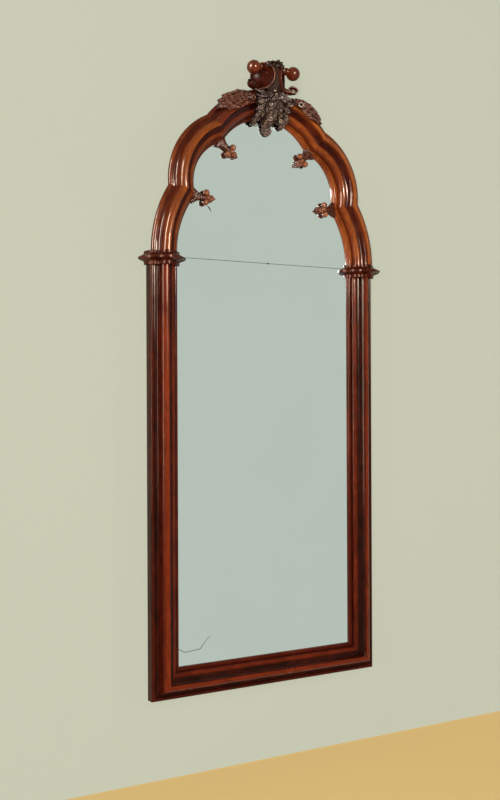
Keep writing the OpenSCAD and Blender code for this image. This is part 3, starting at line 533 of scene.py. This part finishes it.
def addLeaf(bm, place, root, tip, width, dome=7, base=1.5, thick=4, bend=0, vein=2, curl=2,
            teeth=0, bite=0.0, cells=(10, 6), swell=0):
    relief = reliefShadeLayer(bm)
    top = bmesh.ops.create_grid(bm, x_segments=cells[0], y_segments=cells[1], size=1)["verts"]
    rim = list({e for v in top for e in v.link_edges if e.is_boundary})
    skirt = bmesh.ops.extrude_edge_only(bm, edges=rim)["geom"]
    low = {g for g in skirt if isinstance(g, bmesh.types.BMVert)}
    lowEdges = [g for g in skirt if isinstance(g, bmesh.types.BMEdge) and all(v in low for v in g.verts)]
    bmesh.ops.holes_fill(bm, edges=lowEdges, sides=0)
    run = Vector(tip) - Vector(root)
    side = Vector((-run.y, run.x)).normalized()
    for vert in list(top) + list(low):
        s, t = (vert.co.x + 1) / 2, vert.co.y
        across = t * leafWidth(s, width, teeth, bite) + bend * 4 * s * (1 - s)
        flat = Vector(root) + run * s + side * across
        swellHere = swell * (1 - s) ** 3
        if vert in low:
            lift, shade = base - thick + swellHere * 0.5, 0.4
        else:
            body = swelling(s, t)
            middle = math.exp(-(t / 0.2) ** 2) * math.sin(math.pi * s)
            ribs = 0.0
            if teeth:
                ribs = (0.5 + 0.5 * math.cos(2 * math.pi * (teeth * s + 0.9 * abs(t)))) * (1 - 0.5 * t * t)
            lift = base + dome * body - vein * middle - vein * 0.8 * ribs + curl * s ** 3 + swellHere
            # lower in the vein, between the ribs and on the skirt: painted shade
            shade = max(0.0, min(1.0, body * 0.9 - 0.45 * middle - 0.4 * ribs + 0.25 * s))
        vert.co = place(flat.x, flat.y, lift)
        vert[relief] = shade


def addBead(bm, centre, radius):
    relief = reliefShadeLayer(bm)
    ball = bmesh.ops.create_icosphere(bm, subdivisions=2, radius=radius * 0.001,
                                      matrix=Matrix.Translation(centre))
    for vert in ball["verts"]:
        # front half painted pale, the half towards the wall painted shade
        vert[relief] = 0.75 if vert.co.y < centre.y else 0.2


def axisFrame(centre, axis):  # Z along the axis
    turn = Vector(axis).to_track_quat("Z", "Y").to_matrix().to_4x4()
    return Matrix.Translation(centre) @ turn, turn.to_3x3() @ Vector((0, 0, 1))


def addRing(bm, centre, axis, radius, wire, steps=28, sides=10):
    relief = reliefShadeLayer(bm)
    place, pole = axisFrame(centre, axis)
    section = place @ Matrix.Translation((radius * 0.001, 0, 0)) @ Matrix.Rotation(math.pi / 2, 4, "X")
    circle = bmesh.ops.create_circle(bm, segments=sides, radius=wire * 0.001, matrix=section)
    loop = list({e for v in circle["verts"] for e in v.link_edges})
    bmesh.ops.spin(bm, geom=circle["verts"] + loop, cent=centre, axis=pole, angle=2 * math.pi, steps=steps,
                   use_merge=True)
    # rings are painted pale all round: worn edges with painted highlight
    for vert in bm.verts:
        if (vert.co - Vector(centre)).length < (radius + wire) * 0.00102:
            vert[relief] = max(vert[relief], 0.8)


def lathe(bm, profile, origin, axis, steps=48):  # profile of (along the axis, radius) in millimetres
    place, pole = axisFrame(origin, axis)
    verts = [bm.verts.new(place @ Vector((r * 0.001, 0, a * 0.001))) for a, r in profile]
    edges = [bm.edges.new(pair) for pair in zip(verts, verts[1:])]
    bmesh.ops.spin(bm, geom=verts + edges, cent=origin, axis=pole, angle=2 * math.pi, steps=steps,
                   use_merge=True)


def sweep(bm, points, radii, sides=12, depths=None):  # a round or flattened rod along points
    loops = []
    for i, (point, radius) in enumerate(zip(points, radii)):
        ahead = (points[min(i + 1, len(points) - 1)] - points[max(i - 1, 0)]).normalized()
        across = ahead.cross(Vector((0, 1, 0))).normalized()
        turn = Matrix((across, across.cross(ahead), ahead)).transposed().to_4x4()
        deep = depths[i] / radius if depths else 1.0
        section = Matrix.Translation(point) @ turn @ Matrix.Diagonal((1, deep, 1, 1))
        ring = bmesh.ops.create_circle(bm, cap_ends=i in (0, len(points) - 1), segments=sides,
                                       radius=radius * 0.001, matrix=section)
        linked = {e for v in ring["verts"] for e in v.link_edges}
        loops.append([e for e in linked if all(v in ring["verts"] for v in e.verts)])
    for first, second in zip(loops, loops[1:]):
        bmesh.ops.bridge_loops(bm, edges=first + second)


apex = {"tip": (0, 1742), "foot": (0, 1884), "width": 27,
        "ribs": [(0.10, 40, 44), (0.24, 52, 44), (0.38, 58, 42), (0.52, 60, 38), (0.66, 56, 34),
                 (0.78, 54, 29), (0.88, 60, 18)],  # share of the way down, lean and length
        "ribLeaf": {"width": 9, "dome": 8, "thick": 10, "vein": 3, "curl": 7, "cells": (12, 8), "swell": 10},
        "berries": [(-2, 1755, 8), (-14, 1764, 6), (14, 1761, 8), (-3, 1771, 6), (-10, 1752, 4.5),
                    (5, 1750, 5), (3, 1780, 5), (-16, 1776, 5)], "berryLift": 15,
        "eyelets": [(-8, 1791.7, 68, 5.2), (36, 1791, 64, 4.6), (-22, 1833, 94, 4.4)],
        "eyeletAxis": (-0.5, -1, -0.1), "eyeletWire": 1.9,
        "knobs": [(-12, 1876, 104, 4.6), (-8, 1865, 104, 4.2)]}


def apexLeaf():
    bm = bmesh.new()
    addLeaf(bm, draped, apex["foot"], apex["tip"], apex["width"], dome=14, base=6, thick=5, vein=3, curl=4,
            teeth=6, bite=0.2, cells=(48, 16), swell=26)
    foot, tip = Vector(apex["foot"]), Vector(apex["tip"])
    for side in (-1, 1):
        for share, lean, length in apex["ribs"]:
            root = foot.lerp(tip, share)
            angle = math.radians(-90 + side * (90 - lean))
            end = root + length * Vector((math.cos(angle), math.sin(angle)))
            addLeaf(bm, draped, root, end, base=12 + 13 * (1 - share) ** 2, bend=-side * 4, **apex["ribLeaf"])
    for x, h, r in apex["berries"]:
        addBead(bm, draped(x, h, apex["berryLift"]), r)
    newPiece("apexLeaf", bm, "carving", ["apex_leaf"])


def apexEyelets():  # small rolled leaf ends and the knobs under the crest, rubbed pale with painted highlight
    bm = bmesh.new()
    for x, h, depth, r in apex["eyelets"]:
        addRing(bm, spot(x, depth, h), apex["eyeletAxis"], r, apex["eyeletWire"], 20, 8)
    for x, h, depth, r in apex["knobs"]:
        addBead(bm, spot(x, depth, h), r)
    newPiece("apexEyelets", bm, "rubbedHighlitCarving")


apexSide = {"foot": (20, 1876), "tip": (56, 1778), "width": 24,
            "outer": [(0.02, 12, 52), (0.14, -2, 54), (0.28, -16, 52), (0.42, -30, 46), (0.57, -42, 40),
                      (0.72, -54, 32), (0.86, -66, 24)],  # share of the way down, heading and length
            "inner": [(0.30, -125, 30), (0.46, -120, 28), (0.62, -112, 23), (0.78, -104, 17)],
            "outerWidth": 8.5, "innerWidth": 7, "rightShare": 0.72, "rightFrom": -35,
            "berries": [(60, 1783, 5), (52, 1788, 4.5), (67, 1790, 4.5), (44, 1806, 4)], "berryLift": 11}


def apexSideLeaf(name, flip, node):
    bm = bmesh.new()
    addLeaf(bm, draped, apexSide["foot"], apexSide["tip"], apexSide["width"], dome=11, base=3, thick=3,
            vein=3, curl=3, teeth=5, bite=0.2, cells=(40, 16), swell=20)
    foot, tip = Vector(apexSide["foot"]), Vector(apexSide["tip"])
    for group in ("outer", "inner"):
        for share, heading, length in apexSide[group]:
            root = foot.lerp(tip, share)
            if heading > apexSide["rightFrom"] and not flip:  # clear of the right shoulder leaf's eye
                length *= apexSide["rightShare"]
            end = root + length * Vector((math.cos(math.radians(heading)), math.sin(math.radians(heading))))
            addLeaf(bm, draped, root, end, apexSide[group + "Width"], dome=7, base=9 + 8 * (1 - share),
                    thick=9, bend=-4, vein=3, curl=5, cells=(12, 8), swell=6)
    for x, h, r in apexSide["berries"]:
        addBead(bm, draped(x, h, apexSide["berryLift"]), r)
    newPiece(name, bm, "carving", [node], flip)


shoulder = {"start": 16.5, "stop": 43.0, "line": 80, "half": 29, "length": 106, "droop": 11, "droopFrom": 50,
            "outward": 13, "rows": 8, "rowStep": 10.5, "beads": 22, "seed": 7,
            "eyeAt": 20.7, "eyeLine": 65.5, "eyeLift": 21, "eyeClear": 13, "eyeAxis": (-0.3, -1, 0.1),
            "eyeCup": [(-8, 11), (-1, 9.5), (1.5, 8.0), (1, 6.2), (-2, 5.0), (-7, 3.5), (-7, 0)],
            "eyeRing": (7.4, 2.2), "eyeOut": 0.0025}


def alongShoulder(a, b, lift):  # a runs along the arch from 0 to 100, b outwards from the leaf's line
    bearing = math.radians(shoulder["start"]) + math.radians(shoulder["stop"] - shoulder["start"]) * a / 100
    bulge = math.sin(math.pi * (0.1 + 0.8 * a / 100))
    droop = shoulder["droop"] * (1 - bulge) if a > shoulder["droopFrom"] else 0.0
    reach = arch["r"] + shoulder["line"] + b + droop
    outward = shoulder["outward"] * max(0.0, min(1.0, b / 22)) * bulge
    return draped(reach * math.sin(bearing), arch["h"] + reach * math.cos(bearing), lift + outward)


eyeShare = 100 * (shoulder["eyeAt"] - shoulder["start"]) / (shoulder["stop"] - shoulder["start"])
eyeSpot = Vector((eyeShare, shoulder["eyeLine"] - shoulder["line"]))
eyeCentre = alongShoulder(eyeSpot.x, eyeSpot.y, shoulder["eyeLift"])
eyeAxis = Vector(shoulder["eyeAxis"]).normalized()


def clearOfEye(a, b):
    return math.hypot((a - eyeSpot.x) * 1.25, b - eyeSpot.y) > shoulder["eyeClear"]


def shoulderRise(a, b):  # how high the leaf's body stands there
    return 3 + 19 * swelling(a / 100, b / leafWidth(a / 100, shoulder["half"]))


def shoulderLeaf(name, flip, node):
    rng = random.Random(shoulder["seed"])
    bm = bmesh.new()
    addLeaf(bm, alongShoulder, (0, 0), (shoulder["length"], 0), shoulder["half"], dome=19, base=3, thick=3,
            vein=2, curl=0, teeth=7, bite=0.16, cells=(56, 18))
    for i in range(shoulder["rows"]):
        a = 7 + shoulder["rowStep"] * i
        half = leafWidth(a / 100, shoulder["half"])
        for j in range(-2, 3):
            b = half * (j / 2.4) + rng.uniform(-1.5, 1.5)
            start = a + rng.uniform(-2, 2) + 3 * (j % 2)
            if clearOfEye(start + 5, b):
                tip = (start + rng.uniform(11, 15), b * (1.22 if j == 2 else 1.04))
                addLeaf(bm, alongShoulder, (start, b * 0.92), tip, rng.uniform(4.5, 6.5), dome=5,
                        base=shoulderRise(a, b) - 2, thick=6, vein=2, curl=2.5, cells=(8, 6))
    for i in range(shoulder["beads"]):  # beads in the hollows and along the lower edge
        a = 6 + 84 * i / (shoulder["beads"] - 1)
        half = leafWidth(a / 100, shoulder["half"])
        addBead(bm, alongShoulder(a, -half * 0.96, 7), rng.uniform(2.6, 4.2))
        b = half * rng.uniform(-0.8, 0.8)
        if clearOfEye(a, b):
            addBead(bm, alongShoulder(a, b, shoulderRise(a, b) + 1.5), rng.uniform(2.2, 3.8))
    lathe(bm, shoulder["eyeCup"], eyeCentre, eyeAxis, 24)
    newPiece(name, bm, "shoulderCarving", [node], flip)


def shoulderEye(name, flip):
    bm = bmesh.new()
    addRing(bm, eyeCentre + eyeAxis * shoulder["eyeOut"], eyeAxis, *shoulder["eyeRing"])
    # the right eye is rubbed pale with painted highlight, the left one darker as painted shade
    newPiece(name, bm, "shoulderCarving" if flip else "rubbedHighlitCarving", (), flip)


underLeaves = {"leaves": [((14, 1872), (64, 1857), 8, 20), ((12, 1867), (68, 1846), 8, 15),
                          ((26, 1860), (76, 1838), 8, 10), ((8, 1874), (44, 1864), 6, 24),
                          ((6, 1873), (34, 1850), 7, 24)],  # root, tip, width and base
               "rightShare": 0.72}


def underCrestLeaves():
    bm = bmesh.new()
    for side in (-1, 1):
        for root, tip, width, base in underLeaves["leaves"]:
            end = Vector(root).lerp(Vector(tip), 1.0 if side < 0 else underLeaves["rightShare"])
            addLeaf(bm, draped, (side * root[0], root[1]), (side * end.x, end.y), width, dome=7, base=base,
                    thick=16, bend=side * 5, vein=3, curl=4, cells=(14, 8))
    newPiece("underCrestLeaves", bm, "carving")


crest = {"cup": (38.93, 69.53, 1930.6), "turn": 50.0, "rim": 45.0, "out": 25.0, "bowl": 48.0,
         "bowlAngle": 58.6, "roll": 2.1, "rimWire": 1.6, "rimOut": 0.0016,
         "ball": (77.0, 76.0, 1951.6), "arm": (0.0, 62.0, 1968.6), "ballRadius": 23.5,
         "armLine": [(6, 15.5), (16, 15), (26, 12.5), (34, 10.5), (42, 10), (48, 10.6), (51, 12.0),
                     (53.5, 13.2), (55.5, 13.0), (57, 11.5)]}  # along the arm and its radius
cupAxis = Vector((math.sin(math.radians(crest["turn"])), -math.cos(math.radians(crest["turn"])), 0))


def cupLining(name, flip):
    bm = bmesh.new()
    bowl, roll, rim = crest["bowl"], crest["roll"], crest["rim"]
    profile = [(0.001 + crest["out"] - bowl * math.cos(a), bowl * math.sin(a))
               for a in (math.radians(crest["bowlAngle"]) * i / 22 for i in range(23))]
    profile[0] = (crest["out"] - bowl, 0.0)
    profile += [(0.4 + roll * math.sin(math.radians(d)), rim - roll - roll * math.cos(math.radians(d)))
                for d in range(0, 181, 20)]
    profile += [(-5, rim + 0.4), (-12, rim - 1)]
    lathe(bm, profile, spot(*crest["cup"]), cupAxis, 72)
    newPiece(name, bm, "bowl", (), flip, 40)


def cupRim(name, flip):  # the bowl's edge, worn pale with a painted highlight
    bm = bmesh.new()
    addRing(bm, spot(*crest["cup"]) + cupAxis * crest["rimOut"], cupAxis, crest["rim"] - crest["roll"],
            crest["rimWire"], 72, 10)
    newPiece(name, bm, "shoulderCarving", (), flip)


def volute(name, flip, node):
    bm = bmesh.new()
    ball, arm = spot(*crest["ball"]), spot(*crest["arm"])
    length, radius = (ball - arm).length * 1000, crest["ballRadius"]
    profile = list(crest["armLine"])
    for angle in map(math.radians, range(30, 180, 10)):
        profile.append((length - radius * math.cos(angle), radius * math.sin(angle)))
    profile.append((length + radius, 0.0))
    lathe(bm, profile, arm, ball - arm, 40)
    newPiece(name, bm, "ball", [node], flip, 50)


curlForm = {"line": [(42, 60, 1914), (45, 61, 1905), (51, 62, 1897), (60, 63, 1892.5), (70, 64, 1891),
                     (78, 66, 1893)],
            "sizes": [4.6, 6.0, 7.6, 9.0, 10.0, 10.4], "mouth": (82, 69, 1897),
            "axis": (-0.21, -0.776, 0.594),
            "mouthLine": [(-13, 0), (-12, 7), (-8, 12.5), (-2, 16.0), (4, 17.6), (5, 15.4), (0, 13.4),
                          (-5, 9.6), (-8, 5), (-8.5, 0)],
            "rings": [(0.0048, 16.4, 2.1, 36, 10), (-0.002, 6.5, 1.6, 24, 8)], "button": (-0.0035, 4.2)}
mouth, mouthAxis = spot(*curlForm["mouth"]), Vector(curlForm["axis"]).normalized()


def curl(name, flip, node):  # a horn that flares from under the cup to a rolled mouth
    bm = bmesh.new()
    sweep(bm, [spot(*p) for p in curlForm["line"]], curlForm["sizes"], 24)
    lathe(bm, curlForm["mouthLine"], mouth, mouthAxis, 36)
    newPiece(name, bm, "crest", [node], flip, 35)


def curlRim(name, flip):  # the edge of the curl's mouth and the button in it: worn pale with painted highlight on the right, dark as painted shade on the left
    bm = bmesh.new()
    for out, *ring in curlForm["rings"]:
        addRing(bm, mouth + mouthAxis * out, mouthAxis, *ring)
    out, radius = curlForm["button"]
    addBead(bm, mouth + mouthAxis * out, radius)
    newPiece(name, bm, "stem" if flip else "rubbedHighlitCarving", (), flip)


stem = {"feet": [(-24, 1883), (-16, 1880), (-8, 1877), (0, 1875), (8, 1877), (16, 1880), (24, 1883)],
        "half": 24, "foot": [(1.0, 88, 8, 0), (0.70, 93, 6, 9)],  # spread, depth, less at the sides, height
        "rise": [(0.45, 96, 3, 1899), (0.30, 97, 2, 1912), (0.24, 97, 0, 1930), (0.24, 96, 0, 1962)],
        "sizes": [4.8, 4.4, 3.3, 2.6, 2.0, 1.8]}


def crestStem():  # flutes that gather from the foot of the crest up its front
    bm = bmesh.new()
    for x, foot in stem["feet"]:
        share = abs(x) / stem["half"]
        line = [(k, depth, less, foot + up) for k, depth, less, up in stem["foot"]] + stem["rise"]
        points = [spot(x * k, depth - less * share, h) for k, depth, less, h in line]
        sweep(bm, points, stem["sizes"], 10)
    newPiece("crestStem", bm, "stem", (), False, 50)


leaflets = {"tiers": [(9, 1965, -0.16), (7, 1971, 0.06)],  # each tier's count, height and rise
            "spread": 115, "depth": 84, "seed": 11, "bud": (0, 92, 1973), "budRadius": 7}


def crestLeaflets():
    rng = random.Random(leaflets["seed"])
    bm = bmesh.new()
    for tier, (count, height, rise) in enumerate(leaflets["tiers"]):
        for i in range(count):
            heading = math.radians(leaflets["spread"] * (2 * i / (count - 1) - 1))
            along = Vector((math.sin(heading), 0.75 * math.cos(heading), rise))
            origin = (5 * math.sin(heading), leaflets["depth"], height + rng.uniform(-2, 2))
            place = onPlane(origin, along, (0, 0.35, 1))
            tip = (rng.uniform(25, 34) - 5 * math.cos(heading), 0)
            addLeaf(bm, place, (0, 0), tip, rng.uniform(6, 8), dome=4, base=2, thick=4, vein=1.6,
                    curl=3 - 4 * tier, cells=(10, 6))
    addBead(bm, spot(*leaflets["bud"]), leaflets["budRadius"])
    newPiece("crestLeaflets", bm, "stem")


cusps = {"lower": {"cusp": (265, 1518), "aim": 186, "reach": 32},
         "upper": {"cusp": (168, 1698), "aim": 221, "reach": 35},
         "stalk": [28, 21, 15.5, 12, 9.4, 8.0], "stalkDepths": [8, 8, 8, 8, 7.6, 7],
         "foot": [(-14, 24), (-6, 25), (1, 26), (8, 27)], "neck": [(-14, 28.5), (2, 31)],  # place and depth
         "berries": [(4, 0, 7.5), (13, 5.5, 4.8), (13, -5.5, 4.8), (21, 0, 4.4)], "leafDepth": 28,
         "lobeOut": 15.5, "lobe": 11.5, "lobeRing": (6.6, 2.8, 24, 8)}


def cuspLeaf(name, key, flip, node):
    bm = bmesh.new()
    relief = reliefShadeLayer(bm)
    aim, reach = math.radians(cusps[key]["aim"]), cusps[key]["reach"]
    start = Vector(cusps[key]["cusp"])
    way, side = Vector((math.cos(aim), math.sin(aim))), Vector((-math.sin(aim), math.cos(aim)))

    def here(a, b, depth):
        flat = start + way * a + side * b
        return spot(flat.x, depth, flat.y)

    def onLeaf(a, b, lift):
        return here(a, b, cusps["leafDepth"] + lift)

    line = cusps["foot"] + [(reach + a, depth) for a, depth in cusps["neck"]]
    sweep(bm, [here(a, 0, depth) for a, depth in line], cusps["stalk"], 20, cusps["stalkDepths"])
    for turn in (-1, 1):
        centre = here(reach - 2, turn * cusps["lobeOut"], 32)
        addBead(bm, centre, cusps["lobe"])
        addRing(bm, centre + Vector((0, -0.005, 0)), (0, -1, 0), *cusps["lobeRing"])
    addLeaf(bm, onLeaf, (reach - 2, 0), (reach + 31, 0), 14, dome=12, base=2, thick=8, vein=2.5, curl=3,
            teeth=3, bite=0.3, cells=(20, 10))
    for a, b, r in cusps["berries"]:
        addBead(bm, here(reach + a, b, 39 - 0.2 * a), r)
    # the cusp's low parts keep a lighter painted shade
    for vert in bm.verts:
        vert[relief] = max(vert[relief], 0.3)
    newPiece(name, bm, "cuspCarving", [node], flip)


apexLeaf()
for side, flip in (("Left", True), ("Right", False)):
    low = side.lower()
    apexSideLeaf("apexSideLeaf" + side, flip, "apex_side_leaf_" + low)
    shoulderLeaf("shoulderLeaf" + side, flip, "shoulder_leaf_" + low)
    shoulderEye("shoulderLeaf" + side + "Eye", flip)
    cupLining("crestCup" + side, flip)
    volute("crestVolute" + side, flip, "crest_volute_" + low)
    curl("crestCurl" + side, flip, "crest_curl_" + low)
    curlRim("crestCurlRim" + side, flip)
    cupRim("crestCupRim" + side, flip)
    cuspLeaf("lowerCuspLeaf" + side, "lower", flip, "cusp_leaf_lower_" + low)
    cuspLeaf("upperCuspLeaf" + side, "upper", flip, "cusp_leaf_upper_" + low)
underCrestLeaves()
apexEyelets()
crestStem()
crestLeaflets()
print("carving and crest made")

glassMarks = {"depth": 20.15,
              "joint": [(-336, 1316.0, 1.7), (336, 1316.0, 1.7)],
              "chip": [(6, 1316.2, 2.5), (9, 1316.0, 6.5), (13, 1315.6, 2.5)],
              "nick": [(-223, 1489.5, 2.0), (-216, 1484, 4.6), (-209.5, 1473.5, 2.2)],
              "crack": [(-337, 56.6, 1.8), (-331.8, 53.6, 2.0), (-314.1, 43.4, 2.0), (-289.6, 45.5, 1.8),
                        (-256.1, 48.3, 2.0), (-246.7, 60.5, 1.8), (-231.4, 77.6, 1.4), (-219.0, 86.9, 0.8)]}


def markLine(bm, points):  # a flat line on the glass; each point has its own width
    rows = []
    for i, (x, h, width) in enumerate(points):
        before, after = Vector(points[max(i - 1, 0)][:2]), Vector(points[min(i + 1, len(points) - 1)][:2])
        run = (after - before).normalized()
        off = Vector((-run.y, run.x)) * width / 2
        rows.append([bm.verts.new(spot(x + k * off.x, glassMarks["depth"], h + k * off.y)) for k in (-1, 1)])
    edges = [bm.edges.new((row[0], row[1])) for row in rows]
    for first, second in zip(edges, edges[1:]):
        bmesh.ops.bridge_loops(bm, edges=[first, second])


def agedGlass():
    bm = bmesh.new()
    for mark in ("joint", "chip", "nick", "crack"):
        markLine(bm, glassMarks[mark])
    newPiece("glassMarks", bm, "grime")


agedGlass()
print("marks on the glass made")
